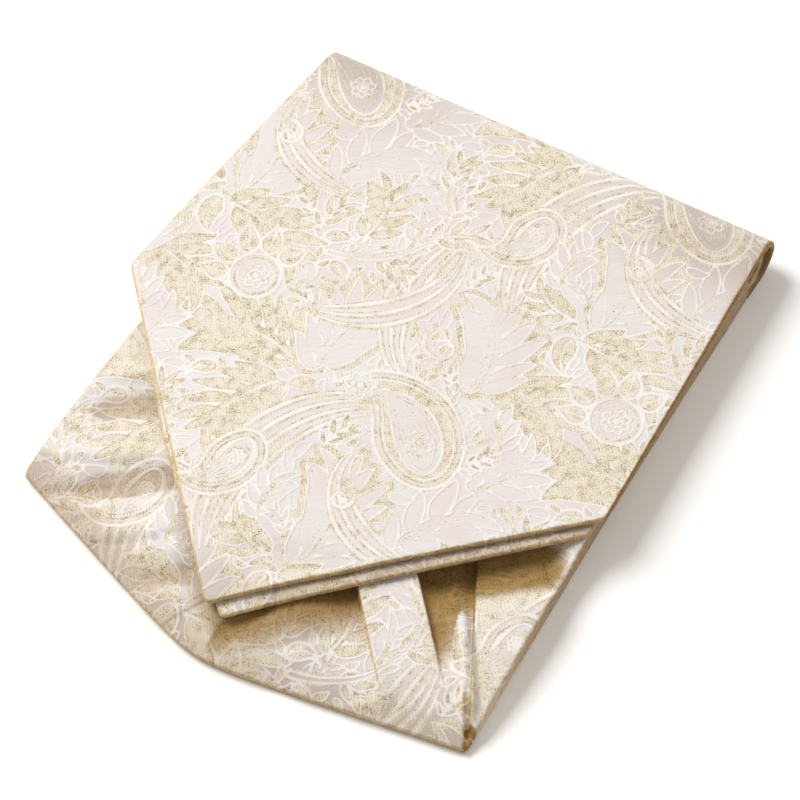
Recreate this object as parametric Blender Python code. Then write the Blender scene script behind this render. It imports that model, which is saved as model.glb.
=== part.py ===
"""A silk day cravat with pointed blades, folded flat: two blades on a pleated stretch.

Metres, +Z up. X runs across the blades, Y from the points to the top fold, and the cloth rests on z = 0.
The origin is under the middle of the folded cravat. Each cloth wall is cut flat, triangulated, laid over
the stack and given its thickness, so the folds are rules on x and y and not stored points.
"""
import math

import bpy
from mathutils import Vector
from mathutils.geometry import delaunay_2d_cdt

MM = 0.001

# ---- Driving sizes, in millimetres; y is measured from the front blade's point --------------------
ORIGIN = (0.3, 86.5)       # middle of the folded cravat, from the line and height of the front blade's point
CLEARANCE = 0.35           # air between two layers
BLADE_WALL = 1.7           # face, interlining and self lining of a blade together
STRETCH_WALL = 1.2         # wall of the pleated stretch
STACK_HEIGHT = 11.0        # folded layers under the blades
STACK_LEFT_DROP = 2.0      # how much lower the stack lies at its lower left
LEFT_DROP_FROM = (-10.0, 130.0)
BOTTOM_FOLD_HEIGHT = 2.7   # thickness of the bottom fold
BOTTOM_EASE = 18.0         # length over which the stack rises from the bottom fold
FOLD_Y = 171.5             # axis of the top fold, at the middle
FOLD_SKEW = 0.06           # the top fold climbs to the right by this much for each millimetre
FOLD_AXIS_Z = 7.75         # height of that axis, so the outer roll is twice as tall
RETURN_LENGTH = 8.0        # cloth that runs back under the roll before it goes into the stack
SETTLE_LENGTH = 55.0       # length over which a blade rises from the stack to its roll

# Blades: the point, both shoulders and the half width at the top fold, and what the blade lies on.
BLADE_COLUMNS = ("name", "point", "right_shoulder", "left_shoulder", "fold_half_width",
                 "left_bow", "lift", "roll_radius", "roll_setback")
BLADES = (
    ("back_blade", (5.3, 0.9), (74.8, 71.2), (-76.2, 78.8), 69.8, 3.6, CLEARANCE, 4.6, 3.2),
    ("front_blade", (0.3, 1.4), (76.6, 76.9), (-77.3, 77.8), 70.6, 0.0,
     2 * CLEARANCE + BLADE_WALL, 6.9, 0.0),
)

# Plan of the pleated stretch: its right side, its corner where the pleats meet, and its left side.
RIGHT_BACK_X, LEFT_BACK_X = 71.8, -65.5
RIGHT_HOLLOW = 0.8         # the right side is pulled in by this much halfway
PLEAT_CORNER_X, LEFT_CORNER_X = 79.0, -67.0
BOTTOM_BEND = (3.0, -10.4) # lowest point of the bottom fold, where its two straight runs meet
BOTTOM_SLOPES = (-0.325, 0.222)
BEND_EASE = 9.0
FLOOR_CLEARANCE = 0.15     # the turned-down edge stops this far above the surface
SIDE_ROUNDING = 2.0        # radius where the cloth turns down over the right side and the bottom fold

# Pressed pleat edges: from under the blades to the foot. The hollow lies on one side of each edge
# (+1 is the left of someone who walks from head to foot), as deep as given at head and foot.
PLEAT_COLUMNS = ("name", "head", "foot", "side", "head_depth", "foot_depth", "reach")
PLEATS = (
    ("ribbon_left_edge", (16.0, 42.0), (54.0, 4.0), -1, 5.6, 0.4, 17.0),
    ("ribbon_right_edge", (27.4, 53.5), (72.6, 6.6), 1, 6.8, 0.3, 15.0),
    ("corner_wedge_edge", (40.0, 75.0), (76.6, 10.2), -1, 5.0, 0.8, 9.0),
)
FLANK = 2.2                # width over which a pleat edge drops into its hollow
PLEAT_FADE = 22.0          # length over which a hollow starts at its head
PLEAT_FOOT_FADE = 3.0      # and over which it ends at its foot

# Soft waves: a trough or ridge along a line, its half width, and its height above the stack.
WAVE_COLUMNS = ("name", "start", "end", "half_width", "height")
WAVE_FADE = 0.25           # share of a wave's length over which it starts and ends
WAVES = (
    ("narrow_pleat", (56.5, 34.0), (75.6, 7.0), 3.4, 2.6),
    ("wedge_hollow", (42.0, 36.0), (78.0, 67.0), 14.0, -3.8),
    ("left_trough_high", (-70.0, 30.0), (-20.0, 62.0), 9.0, -1.3),
    ("left_trough_mid", (-58.0, 8.0), (-8.0, 44.0), 8.0, -1.5),
    ("left_trough_low", (-30.0, 0.0), (4.0, 24.0), 7.0, -1.2),
    ("point_trough", (6.0, -6.0), (14.0, 14.0), 6.0, -1.4),
)

# Hidden layers: the levels of the edge between its bulges, as parts of its height.
LAYERS = 4
LAYER_GROOVE = 0.9         # how far an edge pulls in between two layers
CORE_GAP = 0.45            # air between the hidden layers and the wall around them
SLOPE_ALLOWANCE = 0.3      # more air under the stretch, where its wall lies on a slope
CORE_SIDE_INSET = 2.2      # the left side of the hidden layers stands back this far

# Mesh steps
EDGE_STEP, CREASE_STEP, BLADE_STEP, STRETCH_STEP, CORE_STEP = 7.0, 4.5, 10.0, 6.0, 8.0
ROLL_STEPS = 9
NEAREST_POINTS, NEAREST_EDGE = 0.6, 0.45  # shares of the step kept clear of lines and of the outline


# ---- Rules for the heights -----------------------------------------------------------------------
def ease(t):
    t = min(max(t, 0.0), 1.0)
    return t * t * (3.0 - 2.0 * t)


def mix(a, b, t):
    return a + (b - a) * t


def bottom_fold_y(x):
    """The bottom fold in plan: two straight runs with a soft bend between them."""
    left, right = BOTTOM_SLOPES
    across = x - BOTTOM_BEND[0]
    round_bend = math.hypot(across, BEND_EASE) - BEND_EASE
    return BOTTOM_BEND[1] + (right + left) / 2 * across + (right - left) / 2 * round_bend


def stack_top(x, y):
    """Top of the folded layers without their pleats."""
    drop = STACK_LEFT_DROP * ease((LEFT_DROP_FROM[0] - x) / 60.0) * ease((LEFT_DROP_FROM[1] - y) / 70.0)
    inside = max(y - bottom_fold_y(x), 0.0)
    rise = 1.0 - math.exp(-inside / BOTTOM_EASE)
    return mix(BOTTOM_FOLD_HEIGHT, STACK_HEIGHT - drop, rise)


def along_and_off(x, y, start, end):
    """Share of the way along a line, and the distance to its left, in millimetres."""
    run = Vector(end) - Vector(start)
    to = Vector((x, y)) - Vector(start)
    return to.dot(run) / run.length_squared, run.normalized().cross(to)


def hollow_depth(x, y):
    """Deepest hollow beside the pressed pleat edges at this place."""
    deepest = 0.0
    for pleat in PLEATS:
        row = dict(zip(PLEAT_COLUMNS, pleat))
        share, off = along_and_off(x, y, row["head"], row["foot"])
        length = (Vector(row["foot"]) - Vector(row["head"])).length
        ends = ease(share * length / PLEAT_FADE) * ease((1.0 - share) * length / PLEAT_FOOT_FADE)
        off *= row["side"]
        across = ease(off / FLANK) * (1.0 - ease((off - FLANK) / row["reach"]))
        depth = mix(row["head_depth"], row["foot_depth"], min(max(share, 0.0), 1.0))
        deepest = max(deepest, depth * ends * across)
    return deepest


def wave_height(x, y):
    total = 0.0
    for wave in WAVES:
        row = dict(zip(WAVE_COLUMNS, wave))
        share, off = along_and_off(x, y, row["start"], row["end"])
        round_top = max(1.0 - (off / row["half_width"]) ** 2, 0.0) ** 2
        total += row["height"] * round_top * ease(share / WAVE_FADE) * ease((1.0 - share) / WAVE_FADE)
    return total


def stretch_top(x, y):
    return stack_top(x, y) - hollow_depth(x, y) + wave_height(x, y)


# ---- Cloth walls ---------------------------------------------------------------------------------
def divided(corners, step):
    """The closed outline through the corners, with points no further apart than the step."""
    points = []
    for a, b in zip(corners, corners[1:] + corners[:1]):
        count = max(1, math.ceil((Vector(b) - Vector(a)).length / step))
        points += [tuple(Vector(a).lerp(Vector(b), k / count)) for k in range(count)]
    return points


def inside_by(point, outline):
    """Distance from the outline to a point inside it; negative outside."""
    x, y = point
    inside, nearest = False, 1e9
    for (ax, ay), (bx, by) in zip(outline, outline[1:] + outline[:1]):
        if (ay > y) != (by > y) and x < ax + (y - ay) / (by - ay) * (bx - ax):
            inside = not inside
        run = Vector((bx - ax, by - ay))
        share = min(max(Vector((x - ax, y - ay)).dot(run) / max(run.length_squared, 1e-9), 0.0), 1.0)
        nearest = min(nearest, math.hypot(x - ax - share * run.x, y - ay - share * run.y))
    return nearest if inside else -nearest


def cut_flat(outline, lines, step):
    """Triangles of a flat cut: its outline, the lines that it is creased along, and points between."""
    points = [Vector(p) for p in outline]
    edges = [(k, (k + 1) % len(outline)) for k in range(len(outline))]
    for line in lines:
        first = len(points)
        points += [Vector(p) for p in line]
        edges += [(k, k + 1) for k in range(first, len(points) - 1)]
    taken = len(points)
    xs, ys = [p[0] for p in outline], [p[1] for p in outline]
    candidates = []
    row_step = step * math.sin(math.radians(60))
    for row in range(int((max(ys) - min(ys)) / row_step) + 1):
        for column in range(int((max(xs) - min(xs)) / step) + 2):
            candidates.append((min(xs) + (column + 0.5 * (row % 2)) * step, min(ys) + (row + 0.5) * row_step))
    for spot in candidates:
        clear = all((p - Vector(spot)).length > NEAREST_POINTS * step for p in points[:taken])
        if clear and inside_by(spot, outline) > NEAREST_EDGE * step:
            points.append(Vector(spot))
    corners, _, faces, *_ = delaunay_2d_cdt(points, edges, [], 1, 1e-4)
    return [tuple(p) for p in corners], [tuple(face) for face in faces]


def cloth_wall(name, middle, faces, thickness, colour):
    """A closed wall of even thickness around a middle surface, with its rim rounded outwards."""
    middle = [Vector(p) for p in middle]
    normals = [Vector() for _ in middle]
    sides = set()
    for face in faces:
        a, b, c = (middle[k] for k in face)
        normal = (b - a).cross(c - a).normalized()
        for k, corner in enumerate(face):
            before, after = middle[face[k - 1]] - middle[corner], middle[face[(k + 1) % 3]] - middle[corner]
            normals[corner] += normal * before.angle(after, 0.0)
            sides.add((corner, face[(k + 1) % 3]))
    normals = [n.normalized() for n in normals]
    rim = sorted((a, b) for a, b in sides if (b, a) not in sides)
    outward = {}
    for a, b in rim:
        edge = (middle[b] - middle[a]).normalized()
        for k in (a, b):
            outward[k] = outward.get(k, Vector()) + edge.cross(normals[k])
    half = thickness / 2
    count = len(middle)
    points = [p + n * half for p, n in zip(middle, normals)] + [p - n * half for p, n in zip(middle, normals)]
    rim_point = {}
    for k, direction in outward.items():
        rim_point[k] = len(points)
        points.append(middle[k] + direction.normalized() * half)
    shell = list(faces) + [tuple(k + count for k in reversed(face)) for face in faces]
    for a, b in rim:
        shell += [(b, a, rim_point[a], rim_point[b]), (rim_point[b], rim_point[a], a + count, b + count)]
    return make_object(name, points, shell, colour)


def make_object(name, points, faces, colour):
    mesh = bpy.data.meshes.new(name)
    shift_x, shift_y = ORIGIN
    mesh.from_pydata([((x - shift_x) * MM, (y - shift_y) * MM, z * MM) for x, y, z in points], [], faces)
    mesh.validate()
    mesh.shade_smooth()
    mesh.set_sharp_from_angle(angle=math.radians(50))
    cloth = bpy.data.materials.new(name + "_silk")
    cloth.use_nodes = True
    shader = cloth.node_tree.nodes["Principled BSDF"]
    shader.inputs["Base Color"].default_value = (*colour, 1.0)
    shader.inputs["Roughness"].default_value = 0.45
    shader.inputs["Metallic"].default_value = 0.0
    mesh.materials.append(cloth)
    part = bpy.data.objects.new(name, mesh)
    bpy.context.scene.collection.objects.link(part)
    return part


# ---- The two blades ------------------------------------------------------------------------------
def fold_line_y(x, setback):
    return FOLD_Y - setback + FOLD_SKEW * x


def laid_blade(x, y, row):
    """Where a point of the flat blade lies: on the stack, round the top fold, or on its way back."""
    radius = row["roll_radius"]
    fold_y = fold_line_y(x, row["roll_setback"])
    past = y - fold_y
    if past <= 0.0:
        on_stack = stack_top(x, y) + row["lift"] + BLADE_WALL / 2
        return x, y, mix(on_stack, FOLD_AXIS_Z + radius, ease(1.0 + past / SETTLE_LENGTH))
    turn = past / radius
    if turn < math.pi:
        return x, fold_y + radius * math.sin(turn), FOLD_AXIS_Z + radius * math.cos(turn)
    return x, fold_y - (past - math.pi * radius), FOLD_AXIS_Z - radius


def build_blade(values, colour):
    row = dict(zip(BLADE_COLUMNS, values))
    width = row["fold_half_width"]
    round_fold = math.pi * row["roll_radius"]
    setback = row["roll_setback"]

    def at_fold(x, past):
        return x, fold_line_y(x, setback) + past

    left_side = []
    for k in range(1, 10):
        spot = Vector(row["left_shoulder"]).lerp(Vector(row["point"]), k / 10)
        bow = row["left_bow"] * ease(min(k, 10 - k) / 5)
        left_side.append(tuple(spot - Vector((bow, bow)) / math.sqrt(2)))
    stations = [round_fold * k / ROLL_STEPS for k in range(ROLL_STEPS + 1)] + [round_fold + RETURN_LENGTH - setback]
    right_side = [at_fold(width, past) for past in stations]
    left_back = [at_fold(-width, past) for past in reversed(stations)]
    corners = [row["point"], row["right_shoulder"], *right_side, *left_back, row["left_shoulder"], *left_side]
    outline = divided(corners, EDGE_STEP)
    columns = [width * k / 8 for k in range(-7, 8)]
    roll_rows = [[at_fold(x, past) for x in columns] for past in stations[:-1]]
    flat, faces = cut_flat(outline, roll_rows, BLADE_STEP)
    middle = [laid_blade(x, y, row) for x, y in flat]
    return cloth_wall(row["name"], middle, faces, BLADE_WALL, colour)


# ---- The pleated stretch -------------------------------------------------------------------------
def back_end_y(x):
    return fold_line_y(x, 0.0) - RETURN_LENGTH - BLADE_WALL / 2 - CLEARANCE


def stretch_plan(inset_right, inset_left):
    """Outline from the right back corner round the pleat corner and the bottom fold to the left back."""
    right_x, left_x = RIGHT_BACK_X - inset_right, LEFT_BACK_X + inset_left
    corner_x, low_x = PLEAT_CORNER_X - inset_right, LEFT_CORNER_X + inset_left
    corner_y = bottom_fold_y(corner_x) + inset_right
    steps = 26
    right = []
    for k in range(steps):
        x = mix(right_x, corner_x, k / steps) - RIGHT_HOLLOW * math.sin(math.pi * k / steps)
        right.append((x, mix(back_end_y(right_x), corner_y, k / steps)))
    bottom = [mix(corner_x, low_x, k / steps) for k in range(steps + 1)]
    bottom = [(x, bottom_fold_y(x) + inset_right) for x in bottom]
    left = [(mix(low_x, left_x, k / 20), mix(bottom[-1][1], back_end_y(left_x), k / 20)) for k in range(1, 21)]
    return right, bottom, left


def crease_lines():
    """Both sides of each pleat edge's flank, as lines for the flat cut."""
    lines = []
    for pleat in PLEATS:
        row = dict(zip(PLEAT_COLUMNS, pleat))
        head, foot = Vector(row["head"]), Vector(row["foot"])
        to_left = Vector((-(foot - head).y, (foot - head).x)).normalized()
        for off in (0.0, FLANK * row["side"]):
            count = math.ceil((foot - head).length / CREASE_STEP)
            lines.append([tuple(head.lerp(foot, k / count) + to_left * off) for k in range(count + 1)])
    return lines


def build_stretch(colour):
    right, bottom, left = stretch_plan(SIDE_ROUNDING, STRETCH_WALL / 2)
    outline = right + bottom + left
    back = divided([outline[-1], outline[0]], EDGE_STEP)
    outline += back[1:math.ceil(len(back) / 2)]
    flat, faces = cut_flat(outline[::-1], crease_lines(), STRETCH_STEP)
    half = STRETCH_WALL / 2
    middle = [(x, y, stretch_top(x, y) - half) for x, y in flat]
    # The cloth turns down from here, round the right side, the pleat corner and the bottom fold.
    run = [min(range(len(flat)), key=lambda k, p=p: math.dist(flat[k], p)) for p in right + bottom]
    rows = [run]
    radius = SIDE_ROUNDING - half
    # Each row is at a turn, in degrees from level, and this share of the way down the side.
    for turn, lower in ((40, 0), (90, 0), (90, 0.5), (90, 1), (125, 1)):
        ring = []
        for place, k in enumerate(run):
            before, after = flat[run[max(place - 1, 0)]], flat[run[min(place + 1, len(run) - 1)]]
            tangent = (Vector(after) - Vector(before)).normalized()
            outward = Vector((-tangent.y, tangent.x))
            top_z = middle[k][2]
            floor_z = half + FLOOR_CLEARANCE
            bend = min(radius, (top_z - floor_z) / 2)
            out = radius * math.sin(math.radians(turn))
            down = bend * (1 - math.cos(math.radians(min(turn, 90)))) + lower * (top_z - floor_z - bend)
            ring.append(len(middle))
            middle.append((flat[k][0] + outward.x * out, flat[k][1] + outward.y * out, top_z - down))
        rows.append(ring)
    for upper, lower in zip(rows, rows[1:]):
        for k in range(len(run) - 1):
            faces += [(upper[k], upper[k + 1], lower[k + 1]), (upper[k], lower[k + 1], lower[k])]
    return cloth_wall("pleated_stretch", middle, faces, STRETCH_WALL, colour)


# ---- The hidden layers ---------------------------------------------------------------------------
def lowest_near(x, y, reach):
    """Lowest top of the stretch within reach of a place, so that the layers pass under its hollows."""
    spots = [(x + reach * share * math.cos(turn), y + reach * share * math.sin(turn))
             for share in (0.5, 1.0) for turn in [math.tau * k / 12 for k in range(12)]]
    return min(stretch_top(*spot) for spot in [(x, y)] + spots)


def build_core(colour):
    side = STRETCH_WALL + CORE_GAP
    right, bottom, left = stretch_plan(side, CORE_SIDE_INSET)
    plan = right[::2] + bottom[::2] + left[1::2]
    back = divided([plan[-1], plan[0]], CORE_STEP)
    plan += back[1:math.ceil(len(back) / 2)]
    plan = plan[::-1]
    under = STRETCH_WALL + CORE_GAP + SLOPE_ALLOWANCE
    tops = [lowest_near(x, y, 5.0) - under for x, y in plan]
    middle_spot = Vector((5.0, FOLD_Y / 2))
    # Each layer's edge bulges between two grooves; a level is a share of the height and of the groove.
    levels = [(0.0, 0.7)]
    for layer in range(LAYERS):
        levels += [((layer + low) / LAYERS, pull) for low, pull in ((0.22, 0.0), (0.78, 0.0), (1.0, 1.0))]
    points, faces = [], []
    for share, pull in levels:
        for (x, y), top in zip(plan, tops):
            inward = (middle_spot - Vector((x, y))).normalized() * pull * LAYER_GROOVE
            points.append((x + inward.x, y + inward.y, share * top))
    ring = len(plan)
    for level in range(len(levels) - 1):
        for k in range(ring):
            a, b = level * ring + k, level * ring + (k + 1) % ring
            faces.append((a, b, b + ring, a + ring))
    lower = [(x, y) for x, y, _ in points[:ring]]
    upper = [(x, y) for x, y, _ in points[-ring:]]
    for outline, base, flip in ((lower, 0, True), (upper, len(points) - ring, False)):
        flat, cap = cut_flat(outline, [], CORE_STEP * (3.0 if flip else 1.0))
        index = {}
        for k, (x, y) in enumerate(flat):
            if k < ring:
                index[k] = base + k
                continue
            index[k] = len(points)
            height = 0.0 if flip else lowest_near(x, y, CORE_STEP * 0.9) - under
            points.append((x, y, height))
        for face in cap:
            corners = tuple(index[k] for k in face)
            faces.append(corners[::-1] if flip else corners)
    return make_object("folded_core", points, faces, colour)


def main():
    for old in list(bpy.data.objects):
        bpy.data.objects.remove(old)
    build_blade(BLADES[0], (0.80, 0.74, 0.62))
    build_blade(BLADES[1], (0.86, 0.81, 0.72))
    build_stretch((0.78, 0.72, 0.60))
    build_core((0.70, 0.63, 0.50))


main()
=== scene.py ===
"""A silk day cravat, folded flat: two pointed blades on the pleated stretch and the hidden layers.

The cloth is laid by the same rules as the solids, on much finer meshes. X runs across the blades, Y from
their points to the top fold, and the surface that it lies on is z = 0.
"""
import functools
import math
from collections import namedtuple

import bpy
import numpy as np
from bpy.props import FloatProperty, FloatVectorProperty, PointerProperty
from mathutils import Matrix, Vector
from mathutils.geometry import delaunay_2d_cdt


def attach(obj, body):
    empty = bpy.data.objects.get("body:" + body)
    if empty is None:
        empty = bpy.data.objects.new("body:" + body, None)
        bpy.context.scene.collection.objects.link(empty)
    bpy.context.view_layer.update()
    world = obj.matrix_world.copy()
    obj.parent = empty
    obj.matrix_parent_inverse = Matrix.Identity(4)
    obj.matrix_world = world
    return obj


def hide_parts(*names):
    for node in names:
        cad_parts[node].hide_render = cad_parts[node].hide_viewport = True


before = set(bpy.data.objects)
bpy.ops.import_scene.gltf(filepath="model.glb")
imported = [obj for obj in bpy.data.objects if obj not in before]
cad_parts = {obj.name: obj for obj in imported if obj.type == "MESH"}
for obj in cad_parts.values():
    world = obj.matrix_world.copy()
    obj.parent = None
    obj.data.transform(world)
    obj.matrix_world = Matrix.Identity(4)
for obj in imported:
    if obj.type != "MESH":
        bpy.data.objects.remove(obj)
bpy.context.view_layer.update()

bl_info = {
    "name": "Folded silk cravat",
    "version": (1, 0, 0),
    "blender": (4, 5, 0),
    "location": "View3D > Sidebar > Cravat",
    "description": "Lays a jacquard silk cravat, folded flat, with its floor, light and camera",
    "category": "Object",
}

MM = 0.001

# ---- The lay of the cloth, in millimetres, as in the solids; y is measured from the front blade's point ----
ORIGIN = (0.3, 86.5)
CLEARANCE = 0.35
BLADE_WALL = 1.7
STRETCH_WALL = 1.2
STACK_HEIGHT = 11.0
STACK_LEFT_DROP = 2.0
LEFT_DROP_FROM = (-10.0, 130.0)
LEFT_DROP_OVER = (60.0, 70.0)
BOTTOM_FOLD_HEIGHT = 2.7
BOTTOM_EASE = 18.0
FOLD_Y = 171.5
FOLD_SKEW = 0.06
FOLD_AXIS_Z = 7.75
RETURN_LENGTH = 8.0
SETTLE_LENGTH = 55.0

Blade = namedtuple("Blade", "point right_shoulder left_shoulder fold_half_width left_bow lift"
                            " roll_radius roll_setback")
BACK_BLADE = Blade((5.3, 0.9), (74.8, 71.2), (-76.2, 78.8), 69.8, 3.6, CLEARANCE, 4.6, 3.2)
FRONT_BLADE = Blade((0.3, 1.4), (76.6, 76.9), (-77.3, 77.8), 70.6, 0.0, 2 * CLEARANCE + BLADE_WALL, 6.9, 0.0)

RIGHT_BACK_X, LEFT_BACK_X = 71.8, -65.5
RIGHT_HOLLOW = 0.8
PLEAT_CORNER_X, LEFT_CORNER_X = 79.0, -67.0
PLEAT_CORNER = (PLEAT_CORNER_X, 7.0)
BOTTOM_BEND = (3.0, -10.4)
BOTTOM_SLOPES = (-0.325, 0.222)
BEND_EASE = 9.0
FLOOR_CLEARANCE = 0.25
SIDE_ROUNDING = 0.8
HEM_TUCK = 0.4
# Rounded lengths of the stretch's sides, from which the number of points along them comes.
RIGHT_LENGTH, BOTTOM_LENGTH, LEFT_LENGTH, BACK_LENGTH = 160.0, 150.0, 180.0, 140.0

# Pressed edges: from head to foot, the side of the hollow (+1 is the left of the way down), its depth at
# head and foot, how far it reaches, the length over which it starts, and the depth of full painted shade.
Pleat = namedtuple("Pleat", "head foot side head_depth foot_depth reach fade dark_at")
RIBBON_LEFT_EDGE = Pleat((16.0, 42.0), (54.0, 4.0), -1, 5.6, 0.4, 17.0, 22.0, 4.6)
RIBBON_RIGHT_EDGE = Pleat((27.4, 53.5), (66.0, 13.5), 1, 6.8, 0.3, 15.0, 22.0, 1.5)
WEDGE_EDGE = Pleat((40.0, 75.0), (76.6, 10.2), -1, 5.0, 0.8, 9.0, 22.0, 3.0)
POINT_CREASE = Pleat((-1.0, 4.5), (-10.5, -10.0), 1, 0.55, 0.35, 9.0, 3.0, 4.0)
PLEATS = (RIBBON_LEFT_EDGE, RIBBON_RIGHT_EDGE, WEDGE_EDGE, POINT_CREASE)
FLANK = 1.0
PLEAT_FOOT_FADE = 3.0
# Open ends of the pleats, each painted with a spot of shade.
PLEAT_ENDS = ((77.3, 8.4), (78.6, 5.4))

# Soft waves: a trough or ridge along a line, its half width and its height.
Wave = namedtuple("Wave", "start end half_width height")
WAVE_FADE = 0.25
NARROW_RIDGE = Wave((57.0, 37.5), (77.4, 7.2), 3.5, 2.9)
WEDGE_HOLLOW = Wave((42.0, 36.0), (78.0, 67.0), 14.0, -3.8)
SMALL_WAVES = [Wave(*row) for row in (
    ((-70.0, 30.0), (-20.0, 62.0), 9.0, -1.3),
    ((-58.0, 8.0), (-8.0, 44.0), 8.0, -1.5),
    ((-27.0, -5.0), (7.0, 19.0), 7.5, -1.3),
    ((6.0, -6.0), (14.0, 14.0), 6.0, -1.4),
    ((-68.0, 16.0), (-36.0, 33.0), 3.6, 0.9),
    ((-66.0, 44.0), (-40.0, 66.0), 4.5, 0.8),
    ((-52.0, -3.0), (-18.0, 17.0), 3.8, 0.9),
    ((-64.0, 5.0), (-30.0, 24.0), 3.0, -0.5),
    ((22.0, -12.0), (40.0, 10.0), 6.0, -0.5),
    ((44.0, -6.0), (56.0, 8.0), 4.0, 0.35),
    ((70.0, 18.2), (79.4, 3.4), 1.1, -1.5),
    ((76.2, 9.6), (78.4, 7.2), 1.3, -1.4),
)]
STRETCH_WAVES = [NARROW_RIDGE, WEDGE_HOLLOW, *SMALL_WAVES]
BLADE_WAVES = [Wave(*row) for row in (
    ((-4.0, 15.0), (34.0, 31.0), 7.0, -0.55),
    ((-52.0, 58.0), (-30.0, 96.0), 14.0, -0.3),
    ((-20.0, 60.0), (26.0, 92.0), 18.0, 0.25),
    ((30.0, 100.0), (62.0, 138.0), 14.0, -0.35),
    ((-58.0, 128.0), (-14.0, 150.0), 12.0, -0.3),
)]

# The most painted shade that a place gets (shadow and light bounced off the gold cloth), 1 being deep in
# a hollow, and how far that reaches. A pair goes from the bottom fold upwards on the left flank, from left
# to right at the bottom fold, and from the middle outwards at the roll.
OPEN_PLEAT_SHADE, PLEATS_OPEN_X = 0.45, 60.5   # from here on the pleats open out and lie in the light
RIDGE_LIGHT = 1.2
HOLLOW_DARK_AT = 3.6
WAVE_SHADE, WAVE_DARK_AT = 0.58, 1.3
UNDER_POINT_REACH = 21.0
LEFT_FLANK_SHADES, LEFT_FLANK_REACH = (0.75, 0.3), 15.0
BOTTOM_SHADES, BOTTOM_REACH = (0.55, 0.46), 26.0
CORNER_SHADE, POINT_SHADE, CORNER_REACH = 0.36, 0.42, 48.0
CREASE_SHADE, CREASE_HALF_WIDTH = 0.7, 0.9
STRETCH_SIDE_SHADE, BLADE_SIDE_SHADE, BLADE_EDGE_SHADE = 0.72, 0.9, 0.54
ROLL_SHADES, ROLL_REACH = (0.26, 0.44), 46.0


def ease(t):
    t = np.clip(t, 0.0, 1.0)
    return t * t * (3.0 - 2.0 * t)


def mix(a, b, t):
    return a + (b - a) * t


def bottom_fold_y(x):
    left, right = BOTTOM_SLOPES
    across = x - BOTTOM_BEND[0]
    round_bend = np.hypot(across, BEND_EASE) - BEND_EASE
    return BOTTOM_BEND[1] + (right + left) / 2 * across + (right - left) / 2 * round_bend


def stack_top(x, y):
    """Top of the folded layers without their pleats."""
    drop = STACK_LEFT_DROP * ease((LEFT_DROP_FROM[0] - x) / LEFT_DROP_OVER[0])
    drop = drop * ease((LEFT_DROP_FROM[1] - y) / LEFT_DROP_OVER[1])
    inside = np.maximum(y - bottom_fold_y(x), 0.0)
    return mix(BOTTOM_FOLD_HEIGHT, STACK_HEIGHT - drop, 1.0 - np.exp(-inside / BOTTOM_EASE))


def along_and_off(x, y, start, end):
    """Share of the way along a line, the distance to its left, and its length."""
    run_x, run_y = end[0] - start[0], end[1] - start[1]
    length = math.hypot(run_x, run_y)
    to_x, to_y = x - start[0], y - start[1]
    return (to_x * run_x + to_y * run_y) / length**2, (run_x * to_y - run_y * to_x) / length, length


def off_line(x, y, start, end):
    return along_and_off(x, y, start, end)[1]


def close_to(x, y, spot, reach):
    """From one at a spot down to nought at this reach."""
    return ease(1.0 - np.hypot(x - spot[0], y - spot[1]) / reach)


def pleat_depths(x, y):
    """The depth of each pressed hollow, with the depth at which its cloth is darkest."""
    for pleat in PLEATS:
        share, off, length = along_and_off(x, y, pleat.head, pleat.foot)
        ends = ease(share * length / pleat.fade) * ease((1.0 - share) * length / PLEAT_FOOT_FADE)
        off = off * pleat.side
        across = ease(off / FLANK) * (1.0 - ease((off - FLANK) / pleat.reach))
        depth = mix(pleat.head_depth, pleat.foot_depth, np.clip(share, 0.0, 1.0))
        yield depth * ends * across, pleat.dark_at


def wave_height(x, y, waves):
    total = np.zeros_like(x)
    for wave in waves:
        share, off, _ = along_and_off(x, y, wave.start, wave.end)
        ends = ease(share / WAVE_FADE) * ease((1.0 - share) / WAVE_FADE)
        across = off / wave.half_width / mix(0.35, 1.0, ends)
        total += wave.height * np.maximum(1.0 - across**2, 0.0) ** 2 * ends
    return total


def stretch_top(x, y):
    hollow = np.max([depth for depth, _ in pleat_depths(x, y)], axis=0)
    return stack_top(x, y) - hollow + wave_height(x, y, STRETCH_WAVES)


def lowest_top(x, y, reach):
    """Lowest top of the stretch at a place and round it."""
    lowest = stretch_top(x, y)
    for turn in np.arange(12) * math.tau / 12:
        for far in (reach / 2.0, reach):
            lowest = np.minimum(lowest, stretch_top(x + far * math.cos(turn), y + far * math.sin(turn)))
    return lowest


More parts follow.
